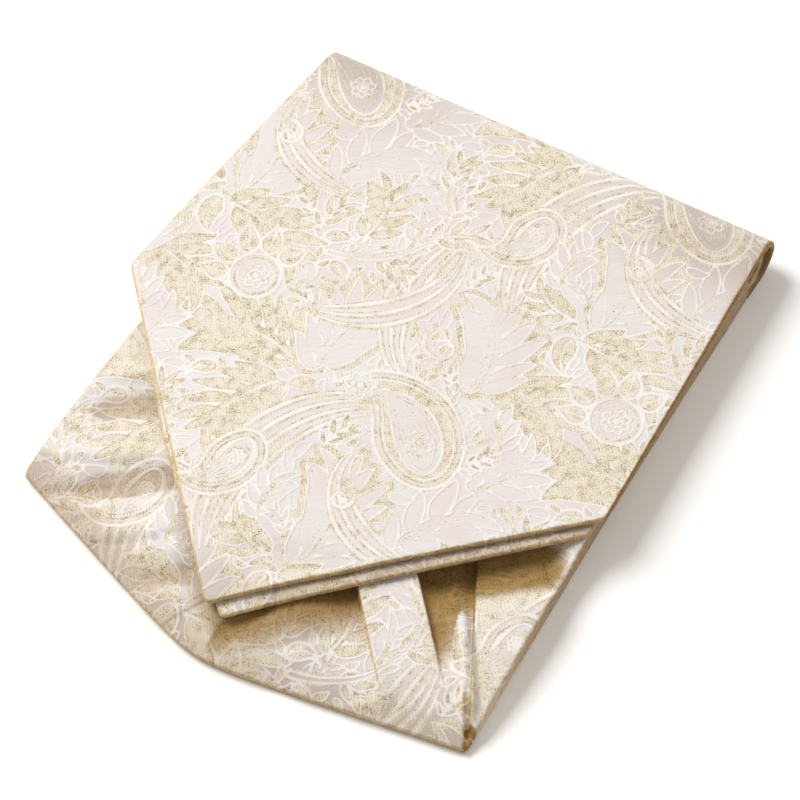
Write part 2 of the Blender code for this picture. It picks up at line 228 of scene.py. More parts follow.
def stretch_shade(x, y):
    """Painted shade on the stretch: 0 in the open, 1 deep in a hollow or under the edge of the blades."""
    ridge = wave_height(x, y, [NARROW_RIDGE])
    closed = mix(OPEN_PLEAT_SHADE, 1.0, ease((PLEATS_OPEN_X + 2.5 - x) / 7.0))
    hollows = [ease((depth - RIDGE_LIGHT * ridge) / dark_at) * closed
               for depth, dark_at in pleat_depths(x, y)]
    edge = np.array([BACK_BLADE.left_shoulder, BACK_BLADE.point, BACK_BLADE.right_shoulder])
    near = nearest_on(np.stack([x, y], axis=-1), edge, closed=False)[0]
    off_ribbon = ease(0.5 - off_line(x, y, *RIBBON_LEFT_EDGE[:2])) * ease((40.0 - x) / 6.0)
    left_flank = mix(*LEFT_FLANK_SHADES, ease(y / 40.0)) * ease(1.0 - near / LEFT_FLANK_REACH)
    crease = np.abs(off_line(x, y, *WEDGE_EDGE[:2]) + 0.5)
    share, side, _ = along_and_off(x, y, PLEAT_CORNER, (RIGHT_BACK_X, 158.0))
    side = side - RIGHT_HOLLOW * np.sin(math.pi * np.clip(share, 0.0, 1.0))
    return np.max([
        *hollows,
        ease(-wave_height(x, y, [WEDGE_HOLLOW]) / HOLLOW_DARK_AT),
        WAVE_SHADE * ease(-wave_height(x, y, SMALL_WAVES) / WAVE_DARK_AT),
        np.where(x > BACK_BLADE.point[0], ease(1.0 - near / UNDER_POINT_REACH) * off_ribbon,
                 left_flank * ease((66.0 - y) / 24.0)),
        mix(*BOTTOM_SHADES, ease(x / 40.0)) * ease(1.0 - (y - bottom_fold_y(x)) / BOTTOM_REACH),
        CORNER_SHADE * close_to(x, y, PLEAT_CORNER, CORNER_REACH),
        CREASE_SHADE * ease(1.0 - crease / CREASE_HALF_WIDTH) * (y > 8.0) * (y < 75.0),
        STRETCH_SIDE_SHADE * ease((0.25 - side) / 0.35),
        *[ease((1.9 - np.hypot(x - spot[0], y - spot[1])) / 0.6) for spot in PLEAT_ENDS],
    ], axis=0)


def blade_shade(x, y, is_back):
    """Painted shade on a blade: at its point, along its right side and towards the roll of the top fold."""
    blade = FRONT_BLADE
    edge = off_line(x, y, blade.right_shoulder, blade.point)
    at_edge = ease((edge + 8.0) / 4.0) * ease((x - 2.0) / 12.0) if is_back else ease(edge + 0.5)
    side = off_line(x, y, (blade.fold_half_width, FOLD_Y), blade.right_shoulder)
    to_sides = ease((np.abs(x + 4.0) - 12.0) / 45.0)
    return np.max([
        BLADE_EDGE_SHADE * at_edge,
        BLADE_SIDE_SHADE * ease((side + 0.1) / 0.6) * (x > 0.0),
        ease((y - FOLD_Y + ROLL_REACH) / ROLL_REACH) * mix(*ROLL_SHADES, to_sides),
        POINT_SHADE * close_to(x, y, blade.point, CORNER_REACH),
    ], axis=0)


def fold_line_y(x, setback):
    return FOLD_Y - setback + FOLD_SKEW * x


def laid_blade(x, y, blade):
    """Middle of the blade's wall: on the stack, round the top fold, then on its way back below it."""
    radius = blade.roll_radius
    fold_y = fold_line_y(x, blade.roll_setback)
    past = y - fold_y
    on_stack = stack_top(x, y) + blade.lift + BLADE_WALL / 2 + wave_height(x, y, BLADE_WAVES)
    flat_z = mix(on_stack, FOLD_AXIS_Z + radius, ease(1.0 + past / SETTLE_LENGTH))
    turn = np.clip(past / radius, 0.0, math.pi)
    beyond = np.maximum(past - math.pi * radius, 0.0)
    lies_flat = past <= 0.0
    laid_y = np.where(lies_flat, y, fold_y + radius * np.sin(turn) - beyond)
    laid_z = np.where(lies_flat, flat_z, FOLD_AXIS_Z + radius * np.cos(turn))
    return np.stack([x, laid_y, laid_z], axis=-1)


def back_end_y(x):
    return fold_line_y(x, 0.0) - RETURN_LENGTH - BLADE_WALL / 2 - CLEARANCE


def stretch_plan(inset_right, inset_left, step):
    """Plan of the stretch, clockwise from its right back corner, and how many points turn down."""
    right_x, left_x = RIGHT_BACK_X - inset_right, LEFT_BACK_X + inset_left
    corner_x, low_x = PLEAT_CORNER_X - inset_right, LEFT_CORNER_X + inset_left
    corner_y = bottom_fold_y(corner_x) + inset_right
    share = np.arange(0.0, 1.0, step / RIGHT_LENGTH)
    right_run = np.stack([mix(right_x, corner_x, share) - RIGHT_HOLLOW * np.sin(math.pi * share),
                          mix(back_end_y(right_x), corner_y, share)], axis=-1)
    bottom_x = mix(corner_x, low_x, np.linspace(0.0, 1.0, int(BOTTOM_LENGTH / step)))
    bottom = np.stack([bottom_x, bottom_fold_y(bottom_x) + inset_right], axis=-1)
    share = np.arange(step / LEFT_LENGTH, 1.0, step / LEFT_LENGTH)
    left_run = np.stack([mix(low_x, left_x, share),
                         mix(bottom[-1, 1], back_end_y(left_x), share)], axis=-1)
    back_x = mix(left_x, right_x, np.arange(0.0, 1.0, step / BACK_LENGTH))
    back = np.stack([back_x, back_end_y(back_x)], axis=-1)
    return np.concatenate([right_run, bottom, left_run, back]), len(right_run) + len(bottom)


# ---- Flat cuts and their meshes --------------------------------------------------------------------
def edge_tangents(outline):
    run = np.roll(outline, -1, axis=0) - np.roll(outline, 1, axis=0)
    return run / np.linalg.norm(run, axis=1, keepdims=True)


def softened(outline, times):
    """A closed outline with its corners rounded off, without its straight runs moved."""
    for _ in range(times):
        outline = (np.roll(outline, 1, axis=0) + 2.0 * outline + np.roll(outline, -1, axis=0)) / 4.0
    return outline


def refined(outline, step):
    """The closed outline with its points about a step apart."""
    points = []
    for a, b in zip(outline, np.roll(outline, -1, axis=0)):
        gap = math.dist(a, b)
        if gap < 0.25 * step:
            continue
        count = max(1, round(gap / step))
        points += [mix(a, b, k / count) for k in range(count)]
    return np.array(points)


def nearest_on(points, outline, closed=True, at_once=4000):
    """Distance of each point to an outline, and the nearest place on it."""
    ends = np.roll(outline, -1, axis=0) if closed else outline[1:]
    starts = outline if closed else outline[:-1]
    runs = ends - starts
    lengths = np.maximum((runs**2).sum(axis=1), 1e-9)
    best = np.full(len(points), np.inf)
    place = np.zeros((len(points), 2))
    for first in range(0, len(points), at_once):
        part = points[first:first + at_once]
        to = part[:, None] - starts[None]
        share = np.clip((to * runs).sum(axis=2) / lengths, 0.0, 1.0)
        away = ((to - share[..., None] * runs) ** 2).sum(axis=2)
        pick = away.argmin(axis=1)
        rows = np.arange(len(part))
        best[first:first + at_once] = np.sqrt(away[rows, pick])
        place[first:first + at_once] = starts[pick] + share[rows, pick, None] * runs[pick]
    return best, place


def is_inside(points, outline):
    x, y = points[:, 0], points[:, 1]
    inside = np.zeros(len(points), bool)
    for (ax, ay), (bx, by) in zip(outline, np.roll(outline, -1, axis=0)):
        crosses = (ay > y) != (by > y)
        if crosses.any():
            inside ^= crosses & (x < ax + (y - ay) / (by - ay) * (bx - ax))
    return inside


OUTLINE_STEP = 2.0         # an outline is thinned to this step before distances to it are taken
LATTICE_CLEARANCE = 0.45   # how far a lattice keeps off its outline, as a share of the lattice's step


def lattice(outline, step, keep=None):
    """Points of a triangular lattice inside the outline, a little clear of it, where keep says so."""
    low, high = outline.min(axis=0), outline.max(axis=0)
    row_step = step * math.sin(math.radians(60))
    rows, columns = int((high[1] - low[1]) / row_step) + 1, int((high[0] - low[0]) / step) + 2
    row, column = np.meshgrid(np.arange(rows), np.arange(columns), indexing="ij")
    points = np.stack([low[0] + (column + 0.5 * (row % 2)) * step, low[1] + (row + 0.5) * row_step], axis=-1)
    points = points.reshape(-1, 2)
    if keep is not None:
        points = points[keep(points)]
    points = points[is_inside(points, outline)]
    coarse = outline[::max(1, round(OUTLINE_STEP / math.dist(outline[0], outline[1])))]
    away, _ = nearest_on(points, coarse)
    return points[away > LATTICE_CLEARANCE * step]


def filled(outline, *grids):
    """The lattice points of several grids, each with its step and the rule that says where it is kept."""
    return np.concatenate([lattice(outline, step, keep) for step, keep in grids])


def triangles_of(outline, inner):
    """Triangles of a flat cut, anticlockwise; its points are the outline's and then the inner ones."""
    points = np.concatenate([outline, inner])
    edges = [(k, (k + 1) % len(outline)) for k in range(len(outline))]
    found, _, faces, *_ = delaunay_2d_cdt([Vector(p) for p in points], edges, [], 1, 1e-5)
    if len(found) != len(points):
        raise RuntimeError(f"the flat cut has {len(found)} points in place of {len(points)}")
    faces = np.array([tuple(face) for face in faces])
    a, b, c = (points[faces[:, k]] for k in range(3))
    clockwise = np.cross(b - a, c - a) < 0.0
    faces[clockwise] = faces[clockwise][:, ::-1]
    return points, faces


def normals_of(surface, points, near=0.05):
    """Unit normals of a laid surface, from its slopes."""
    x, y = points[:, 0], points[:, 1]
    across = surface(x + near, y) - surface(x - near, y)
    along = surface(x, y + near) - surface(x, y - near)
    normal = np.cross(across, along)
    return normal / np.maximum(np.linalg.norm(normal, axis=1, keepdims=True), 1e-9)


TURNED_FROM, TURNED_OVER = 0.86, 0.5   # the face counts as turned down once its normals point up less


def cloth_wall(name, outline, inner, under_inner, surface, wall, raise_by, rim_rows, shade, highest=None):
    """A closed wall of cloth: a fine face, a rounded rim and a plainer back.

    The face lies raise_by above surface(x, y), shade(x, y) is how much painted shade the cloth gets, and
    highest(points) is how high the back may lie.
    """
    def face(points):
        normals = normals_of(surface, points)
        return surface(*points.T) + normals * raise_by, normals

    half = wall / 2.0
    flat, faces = triangles_of(outline, inner)
    _, under_faces = triangles_of(outline, under_inner)
    ring = len(outline)
    laid, normals = face(flat)
    outward = np.cross(np.roll(laid[:ring], -1, axis=0) - np.roll(laid[:ring], 1, axis=0), normals[:ring])
    outward /= np.linalg.norm(outward, axis=1, keepdims=True)
    flat_outward = edge_tangents(outline)[:, ::-1] * (1.0, -1.0)
    middle = laid[:ring] - normals[:ring] * half
    points, cuts, quads = [laid], [flat], []
    last, count = np.arange(ring), len(flat)
    for row in range(1, rim_rows + 2):
        turn = math.pi * row / (rim_rows + 1)
        points.append(middle + half * (outward * math.sin(turn) + normals[:ring] * math.cos(turn)))
        cuts.append(outline + flat_outward * half * turn * (row <= rim_rows))
        here = np.arange(ring) + count
        quads.append(np.stack([last, here, np.roll(here, -1), np.roll(last, -1)], axis=1))
        last, count = here, count + ring
    back, back_normals = face(under_inner)
    back -= back_normals * wall
    if highest:
        back[:, 2] = np.minimum(back[:, 2], highest(under_inner))
    points = np.concatenate([*points, back])
    # How far the face turns down, one on rim and back: it tints the cloth, partly as painted shade.
    turned = np.ones(len(points))
    turned[:len(flat)] = ease((TURNED_FROM - normals[:, 2]) / TURNED_OVER)
    faces = [*faces.tolist(), *np.concatenate(quads).tolist(), *(under_faces[:, ::-1] + last[0]).tolist()]
    cuts = np.concatenate([*cuts, under_inner])
    return make_piece(name, points, faces, cuts, turned, shade(*points[:, :2].T))


WEAVE_FROM = {"pleated_stretch_cloth": (18.0, 18.0)}   # where in the woven length a piece is cut


def make_piece(name, points, faces, cuts, turned, sunk):
    """A mesh in the frame's metres, the cloth's millimetres as UV map, and weave and painted shade as
    attributes.
    """
    cuts = cuts + WEAVE_FROM.get(name, (0.0, 0.0))
    mesh = bpy.data.meshes.new(name)
    mesh.from_pydata(((points - (*ORIGIN, 0.0)) * MM).tolist(), [], faces)
    mesh.shade_smooth()
    layer = mesh.uv_layers.new(name="cloth")
    corners = np.empty(len(mesh.loops), np.int32)
    mesh.loops.foreach_get("vertex_index", corners)
    layer.uv.foreach_set("vector", cuts[corners].astype(np.float32).ravel())
    fields = zip(("gold", "cream", "dark", "turned", "sunk"), (*woven_chart().read(cuts), turned, sunk))
    for field, values in fields:
        mesh.attributes.new(field, "FLOAT", "POINT").data.foreach_set("value", values.astype(np.float32))
    piece = bpy.data.objects.new(name, mesh)
    bpy.context.scene.collection.objects.link(piece)
    return piece


def flat_size(outline):
    """Width and length of a flat cut, in metres."""
    return tuple((outline.max(axis=0) - outline.min(axis=0)) * MM)


def flat_area(outline):
    """Area of a flat cut, in square metres."""
    x, y = outline[:, 0], outline[:, 1]
    return abs(float((x * np.roll(y, -1) - np.roll(x, -1) * y).sum())) / 2.0 * MM**2


# ---- The pieces ------------------------------------------------------------------------------------
EDGE_STEP = 0.62
FINE_STEP = 0.57           # lattice of the face that shows, in millimetres
RIM_STEP = 0.8             # of the rim that shows of the back blade
SHOWN_RIM = 9.0            # and how wide that rim is
HEM_STEP = 1.2
ROLL_STEP = 1.6
UNDER_STEP = 3.0
COARSE_STEP = 4.0
SHOWN_PAST = 5.0           # the stretch stays fine this far under the back blade
BACK_REACH = 4.4           # and its back passes under each hollow within this reach
LEFT_PARTS = 10            # parts of the bowed left edge of a blade's point
BLADE_RIM_ROWS, STRETCH_RIM_ROWS = 6, 5


def blade_corners(blade):
    """Corners of a blade's flat cut, anticlockwise from its point."""
    width, setback = blade.fold_half_width, blade.roll_setback
    right_y, left_y = fold_line_y(width, setback), fold_line_y(-width, setback)
    end = math.pi * blade.roll_radius + RETURN_LENGTH - setback
    left_side = []
    for k in range(1, LEFT_PARTS):
        bow = blade.left_bow * float(ease(min(k, LEFT_PARTS - k) / LEFT_PARTS * 2)) / math.sqrt(2)
        spot = mix(np.array(blade.left_shoulder), np.array(blade.point), k / LEFT_PARTS)
        left_side.append(tuple(spot - bow))
    return np.array([blade.point, blade.right_shoulder, (width, right_y), (width, right_y + end),
                     (-width, left_y + end), (-width, left_y), blade.left_shoulder, *left_side])


def build_blade(name, blade, is_back):
    """A blade cut flat and laid over the stack and round the top fold, and its outline."""
    outline = softened(refined(blade_corners(blade), EDGE_STEP), 4)

    def past_fold(points):
        return points[:, 1] - fold_line_y(points[:, 0], blade.roll_setback)

    def off_edge(points):
        return nearest_on(points, outline[::8])[0]

    if is_back:
        grids = ((RIM_STEP, lambda p: (past_fold(p) < 0.0) & (off_edge(p) < SHOWN_RIM)),
                 (ROLL_STEP, lambda p: past_fold(p) > RIM_STEP),
                 (COARSE_STEP, lambda p: (past_fold(p) < -2.0) & (off_edge(p) > SHOWN_RIM + 2.0)))
    else:
        in_sight = 0.75 * (math.pi * blade.roll_radius)
        grids = ((FINE_STEP, lambda p: past_fold(p) < in_sight),
                 (ROLL_STEP, lambda p: past_fold(p) > in_sight + RIM_STEP))
    under_inner = filled(outline, (COARSE_STEP, lambda p: past_fold(p) < -1.0),
                         (ROLL_STEP, lambda p: past_fold(p) > 0.0))
    piece = cloth_wall(name, outline, filled(outline, *grids), under_inner,
                       lambda x, y: laid_blade(x, y, blade), BLADE_WALL, BLADE_WALL / 2, BLADE_RIM_ROWS,
                       lambda x, y: blade_shade(x, y, is_back))
    return piece, outline


def build_stretch():
    """The stretch with its pleats, turned down over its right side and bottom fold, and its outline."""
    half = STRETCH_WALL / 2.0
    plan, turned_down = stretch_plan(SIDE_ROUNDING, half, EDGE_STEP)
    for _ in range(3):
        plan[1:-1] = (plan[:-2] + 2.0 * plan[1:-1] + plan[2:]) / 4.0
    quarter = SIDE_ROUNDING * math.pi / 2
    floor_z = half + FLOOR_CLEARANCE

    def bend_at(top_z):
        return np.minimum(SIDE_ROUNDING, (top_z - floor_z) / 2.0)

    def surface(x, y):
        points = np.stack([x, y], axis=-1)
        laid = np.column_stack([points, stretch_top(x, y)])
        out = ~is_inside(points, plan)
        if out.any():
            away, place = nearest_on(points[out], plan)
            outward = (points[out] - place) / np.maximum(away, 1e-6)[:, None]
            top_z = stretch_top(*place.T)
            bend = bend_at(top_z)
            turn = np.minimum(away / SIDE_ROUNDING, math.pi / 2)
            down = np.maximum(away - quarter, 0.0)
            tucked = HEM_TUCK * ease(1.0 - (top_z - floor_z - bend - down) / 1.5)
            laid[out, :2] = place + outward * (SIDE_ROUNDING * np.sin(turn) - tucked)[:, None]
            laid[out, 2] = top_z - bend * (1.0 - np.cos(turn)) - down
        return laid

    def highest(points):
        level = np.full(len(points), np.inf)
        inside = is_inside(points, plan)
        level[inside] = lowest_top(*points[inside].T, BACK_REACH) - STRETCH_WALL
        return level

    run = plan[:turned_down]
    outward = edge_tangents(plan)[:turned_down, ::-1] * (-1.0, 1.0)
    outward[0], outward[-1] = outward[1], outward[-2]
    top_z = stretch_top(*run.T)
    skirt = quarter + top_z - floor_z - bend_at(top_z)
    hem = run + outward * skirt[:, None]
    ends = [mix(a, b, np.linspace(0.0, 1.0, count)[1:-1, None])
            for a, b, count in ((run[0], hem[0], 18), (hem[-1], run[-1], 6))]
    cut = np.concatenate([run[:1], ends[0], hem, ends[1], run[-1:], plan[turned_down:]])[::-1]
    outline = refined(cut, EDGE_STEP)
    cover = blade_corners(BACK_BLADE)

    def shows(points):
        return ~is_inside(points, cover) | (nearest_on(points, cover)[0] < SHOWN_PAST)

    inner = filled(outline, (FINE_STEP, lambda p: shows(p) & (off_pleats(p) > PLEAT_CLEARANCE)),
                   (COARSE_STEP, lambda p: ~shows(p) & (off_pleats(p) > COARSE_STEP / 2)))
    under_inner = filled(outline, (UNDER_STEP, lambda p: is_inside(p, plan) & (nearest_on(p, plan)[0] > 1.0)),
                         (HEM_STEP, lambda p: ~is_inside(p, plan)))
    piece = cloth_wall("pleated_stretch_cloth", outline, np.concatenate([inner, pleat_rows()]), under_inner,
                       surface, STRETCH_WALL, 0.0, STRETCH_RIM_ROWS, stretch_shade, highest)
    return piece, outline


PLEAT_ROWS = (-0.3, 0.0, 0.3, 0.6, 0.9, 1.2)   # rows of points across a pressed edge
PLEAT_STEP = 0.5
PLEAT_CLEARANCE, LEAST_GAP = 0.42, 0.28   # from those rows to the lattice, and to another edge's rows


def off_pleats(points):
    """Distance to the band of a pressed edge, nought inside it."""
    least = np.full(len(points), np.inf)
    for pleat in PLEATS:
        share, off, length = along_and_off(*points.T, pleat.head, pleat.foot)
        off = off * pleat.side
        beside_it = np.maximum(np.maximum(PLEAT_ROWS[0] - off, off - PLEAT_ROWS[-1]), 0.0)
        beyond = np.maximum(abs(share - 0.5) - 0.5, 0.0) * length
        least = np.minimum(least, np.hypot(beside_it, beyond))
    return least


def pleat_rows():
    """Points in rows along the pressed edges, which the mesh follows, less any too near another edge's."""
    kept = np.empty((0, 2))
    for pleat in PLEATS:
        head, foot = np.array(pleat.head), np.array(pleat.foot)
        length = math.dist(head, foot)
        along = np.linspace(head, foot, int(length / PLEAT_STEP))
        left = np.array((head[1] - foot[1], foot[0] - head[0])) / length * pleat.side
        points = np.concatenate([along + left * off for off in PLEAT_ROWS])
        if len(kept):
            points = points[np.array([np.hypot(*(kept - p).T).min() > LEAST_GAP for p in points])]
        kept = np.concatenate([kept, points])
    return kept


# The hidden layers: how many show at the edges, how deep the grooves and the plies between them go, and
# how far the edges sway along their length.
LAYERS = 4
LAYER_STEPS = 12
LAYER_GROOVE = 0.9
PLY_GROOVE, PLY_WIDTH = 0.25, 0.05
LAYER_SWAY = 0.3
LAYER_WAVE = 0.012         # how far they rise and fall, as a share of the height
LAYER_CLOTH, EDGE_CLOTH = 40.0, 30.0   # woven length from layer to layer, and how much of it an edge shows
CORE_STEP, CORE_BOTTOM_STEP, CORE_TOP_STEP = 1.2, 24.0, 6.0
CORE_GAP = 0.45
SLOPE_ALLOWANCE = 0.3
CORE_SIDE_INSET = 2.2
CORE_RIM_REACH, CORE_TOP_REACH = 5.0, 5.4   # the core lies below the lowest top of the stretch within these


def layer_sway(along, layer):
    return 0.35 * np.sin(along / (17.0 + 5.0 * layer) + 2.1 * layer) + 0.25 * np.sin(along / 7.3 + layer)


def build_core():
    """The hidden layers as one solid, with a groove at its edges between each two."""
    plan = softened(stretch_plan(STRETCH_WALL + CORE_GAP, CORE_SIDE_INSET, CORE_STEP)[0][::-1], 6)
    below = STRETCH_WALL + CORE_GAP + SLOPE_ALLOWANCE
    tops = lowest_top(*plan.T, CORE_RIM_REACH) - below
    outward = edge_tangents(plan)[:, ::-1] * (1.0, -1.0)
    ring, rows = len(plan), LAYERS * LAYER_STEPS
    along = np.arange(ring) * CORE_STEP
    points, cuts = [], []
    for row in range(rows + 1):
        share = row / rows
        layer = min(int(share * LAYERS), LAYERS - 1)
        within = share * LAYERS - layer
        bulge = math.sqrt(max(1.0 - (2.0 * within - 1.0) ** 2, 0.0))
        ply = PLY_GROOVE * math.exp(-((within - 0.5) / PLY_WIDTH) ** 2)
        inset = LAYER_GROOVE * (1.0 - bulge) + ply + LAYER_SWAY * (1.0 - layer_sway(along, layer)) * bulge
        height = share + LAYER_WAVE * np.sin(along / 11.0 + layer) * math.sin(math.pi * share)
        points.append(np.column_stack([plan - outward * inset[:, None], height * tops]))
        cuts.append(np.column_stack([along, np.full(ring, share * EDGE_CLOTH + LAYER_CLOTH * layer)]))
    faces = []
    for row in range(rows):
        here = np.arange(ring) + row * ring
        over = here + ring
        faces += np.stack([here, np.roll(here, -1), np.roll(over, -1), over], axis=1).tolist()
    for row, is_bottom, step in ((0, True, CORE_BOTTOM_STEP), (rows, False, CORE_TOP_STEP)):
        edge = points[row][:, :2]
        inner = lattice(edge, step)
        index = np.concatenate([np.arange(ring) + row * ring, sum(map(len, points)) + np.arange(len(inner))])
        cap = index[triangles_of(edge, inner)[1]]
        height = np.zeros(len(inner)) if is_bottom else lowest_top(*inner.T, CORE_TOP_REACH) - below
        points.append(np.column_stack([inner, height]))
        cuts.append(inner)
        faces += (cap[:, ::-1] if is_bottom else cap).tolist()
    points = np.concatenate(points)
    return make_piece("folded_layers", points, faces, np.concatenate(cuts), np.ones(len(points)),
                      np.zeros(len(points)))


# ---- The woven repeat: own scrolls, leaves and teardrops, charted as outlines in millimetres -------------
REPEAT_WIDTH, REPEAT_HEIGHT = 112.0, 150.0   # each column of repeats starts half a repeat higher
CELL = 0.25                # grid of the chart
DRAWN = 0.82               # size of the woven cloth against the chart
REACH = 0.9                # how far from an edge its distance is kept
BLOCK = 4                  # cells on a side of the blocks in which room is looked for
BIAS = math.radians(40.0)  # the cloth is cut on the bias
TONES = {                  # whether gold twill, cream float and dark binding show, or stay as they were
    "gold": (True, False, False), "cream": (None, True, None), "satin": (False, False, False),
    "dark": (None, False, True),
}


def sweep(x, y, heading, length, turn, curl=0.0, count=28):
    """A curve that turns by some degrees in all, and curls up more towards its end."""
    share = (np.arange(count) + 0.5) / count
    angle = np.radians(heading + turn * share + curl * share**3)
    steps = np.stack([np.cos(angle), np.sin(angle)], axis=-1) * length / count
    return np.concatenate([[(x, y)], np.array((x, y)) + np.cumsum(steps, axis=0)])


def heading_at(line, place):
    run = line[min(place + 1, len(line) - 1)] - line[max(place - 1, 0)]
    return math.degrees(math.atan2(run[1], run[0]))


def beside(line, share, off):
    """Points at shares of the way along a line, that far to its left."""
    run = np.gradient(line, axis=0)
    left = run[:, ::-1] * (-1.0, 1.0) / np.linalg.norm(run, axis=1, keepdims=True)
    place = np.clip(share, 0.0, 1.0) * (len(line) - 1)
    low = np.minimum(place.astype(int), len(line) - 2)
    part = (place - low)[:, None]
    return mix(line[low], line[low + 1], part) + mix(left[low], left[low + 1], part) * off[:, None]


def both_sides(line, share, off):
    return np.concatenate([beside(line, share, off), beside(line, share[::-1], -off[::-1])])


def blade_leaf(line, width, fullness=0.8, count=16):
    share = np.linspace(0.0, 1.0, count)
    return both_sides(line, share, width / 2 * np.sin(np.pi * share**0.8) ** fullness)


def teardrop(line, width, count=22):
    """Round at the start of the line and pointed at its end."""
    share = (1.0 - np.cos(np.linspace(0.0, np.pi, count))) / 2.0
    head = np.sqrt(np.clip(1.0 - ((share - 0.34) / 0.34) ** 2, 0.0, 1.0))
    tail = (0.5 + 0.5 * np.cos(np.pi * (share - 0.34) / 0.66)) ** 0.75
    return both_sides(line, share, width / 2 * np.where(share < 0.34, head, tail))


def petal_ring(x, y, radius, petals=0, depth=0.0, turn=0.0):
    angle = np.linspace(0.0, math.tau, 60, endpoint=False)
    reach = radius * (1.0 - depth * (1.0 - abs(np.cos(petals / 2 * angle + turn))))
    return np.stack([x + reach * np.cos(angle), y + reach * np.sin(angle)], axis=-1)


class WeaveChart:
    """The repeat as distances into gold twill, raised cream floats and dark binding, at each cell."""

    def __init__(self):
        self.columns, self.rows = round(REPEAT_WIDTH / CELL), round(REPEAT_HEIGHT / CELL)
        self.depths = np.full((3, self.rows, self.columns), -REACH)
        self.taken = np.zeros((self.rows, self.columns))

    def windows(self, points, margin):
        """The cells near these points, in each copy of the repeat that they reach."""
        low, high = points.min(axis=0) - margin, points.max(axis=0) + margin
        for i in (-1, 0, 1):
            for j in (-2, -1, 0, 1, 2):
                shift = np.array((REPEAT_WIDTH * i, REPEAT_HEIGHT * (j + i / 2)))
                first = np.maximum(((low + shift) / CELL).astype(int), 0)
                last = np.minimum(((high + shift) / CELL).astype(int) + 1, (self.columns, self.rows))
                if (first < last).all():
                    x, y = np.meshgrid((np.arange(first[0], last[0]) + 0.5) * CELL - shift[0],
                                       (np.arange(first[1], last[1]) + 0.5) * CELL - shift[1])
                    yield (slice(first[1], last[1]), slice(first[0], last[0])), x, y

    def put(self, area, depth, tone):
        """Weaves a tone in where depth, in millimetres inside its edge, is above nought."""
        depth = np.clip(depth, -REACH, REACH)
        for woven, shows in zip(self.depths, TONES[tone]):
            if shows is not None:
                woven[area] = np.maximum(woven[area], depth) if shows else np.minimum(woven[area], -depth)
        self.taken[area] = np.maximum(self.taken[area], depth > 0.0)

    def stroke(self, line, half, tone):
        """A line of this half width, which may taper."""
        half = np.broadcast_to(np.asarray(half, float), len(line))
        for area, x, y in self.windows(line, half.max() + 1.0):
            depth = np.full(x.shape, -9.0)
            for a, b, half_a, half_b in zip(line[:-1], line[1:], half[:-1], half[1:]):
                share, away = from_segment(x, y, a, b)
                depth = np.maximum(depth, mix(half_a, half_b, share) - np.sqrt(away))
            self.put(area, depth, tone)

    def shape(self, outlines, tone, line=0.0, bands=()):
        """Outlines joined into one, with a cream line round them and bands inside."""
        for area, x, y in self.windows(np.concatenate(outlines), line + 1.0):
            points = np.column_stack([x.ravel(), y.ravel()])
            depth = np.full(len(points), -np.inf)
            for outline in outlines:
                away, _ = nearest_on(points, outline)
                depth = np.maximum(depth, np.where(is_inside(points, outline), away, -away))
            depth = depth.reshape(x.shape)
            if tone:
                self.put(area, depth, tone)
            for place, half, band_tone in bands:
                self.put(area, half - abs(depth - place), band_tone)
            if line:
                self.put(area, line - abs(depth), "cream")

    def room(self):
        """How far each block of the chart is from what is woven already."""
        shape = (self.rows // BLOCK, BLOCK, self.columns // BLOCK, BLOCK)
        taken = self.taken.reshape(shape).max(axis=(1, 3)) > 0.3
        away = np.zeros(taken.shape)
        half = taken.shape[0] // 2
        for ring in range(16):
            left, right = np.roll(taken, 1, axis=1), np.roll(taken, -1, axis=1)
            left[:, 0], right[:, -1] = np.roll(taken[:, -1], -half), np.roll(taken[:, 0], half)
            spread = [taken] if ring % 2 == 0 else [taken, left, right]
            taken = taken | left | right
            for part in spread:
                taken |= np.roll(part, 1, axis=0) | np.roll(part, -1, axis=0)
            away += ~taken
        return (away + 1.0) * BLOCK * CELL

    def read(self, cuts):
        """The three distances at places of the cloth, cut on the bias."""
        u = (cuts[:, 0] * math.cos(BIAS) + cuts[:, 1] * math.sin(BIAS)) / DRAWN
        v = (cuts[:, 1] * math.cos(BIAS) - cuts[:, 0] * math.sin(BIAS)) / DRAWN
        x, y = u / CELL - 0.5, v / CELL - 0.5
        column, row = np.floor(x).astype(int), np.floor(y).astype(int)
        part_x, part_y = x - column, y - row
        total = 0.0
        for i, weight_x in ((0, 1.0 - part_x), (1, part_x)):
            for j, weight_y in ((0, 1.0 - part_y), (1, part_y)):
                over = (column + i) // self.columns
                inside_row = (row + j - over * (self.rows // 2)) % self.rows
                total = total + self.depths[:, inside_row, (column + i) % self.columns] * weight_x * weight_y
        return total * DRAWN


def from_segment(x, y, a, b):
    """Share of the way from a to b, and the square of the distance to that line."""
    run_x, run_y = b[0] - a[0], b[1] - a[1]
    to_x, to_y = x - a[0], y - a[1]
    share = np.clip((to_x * run_x + to_y * run_y) / max(run_x**2 + run_y**2, 1e-9), 0.0, 1.0)
    return share, (to_x - share * run_x) ** 2 + (to_y - share * run_y) ** 2


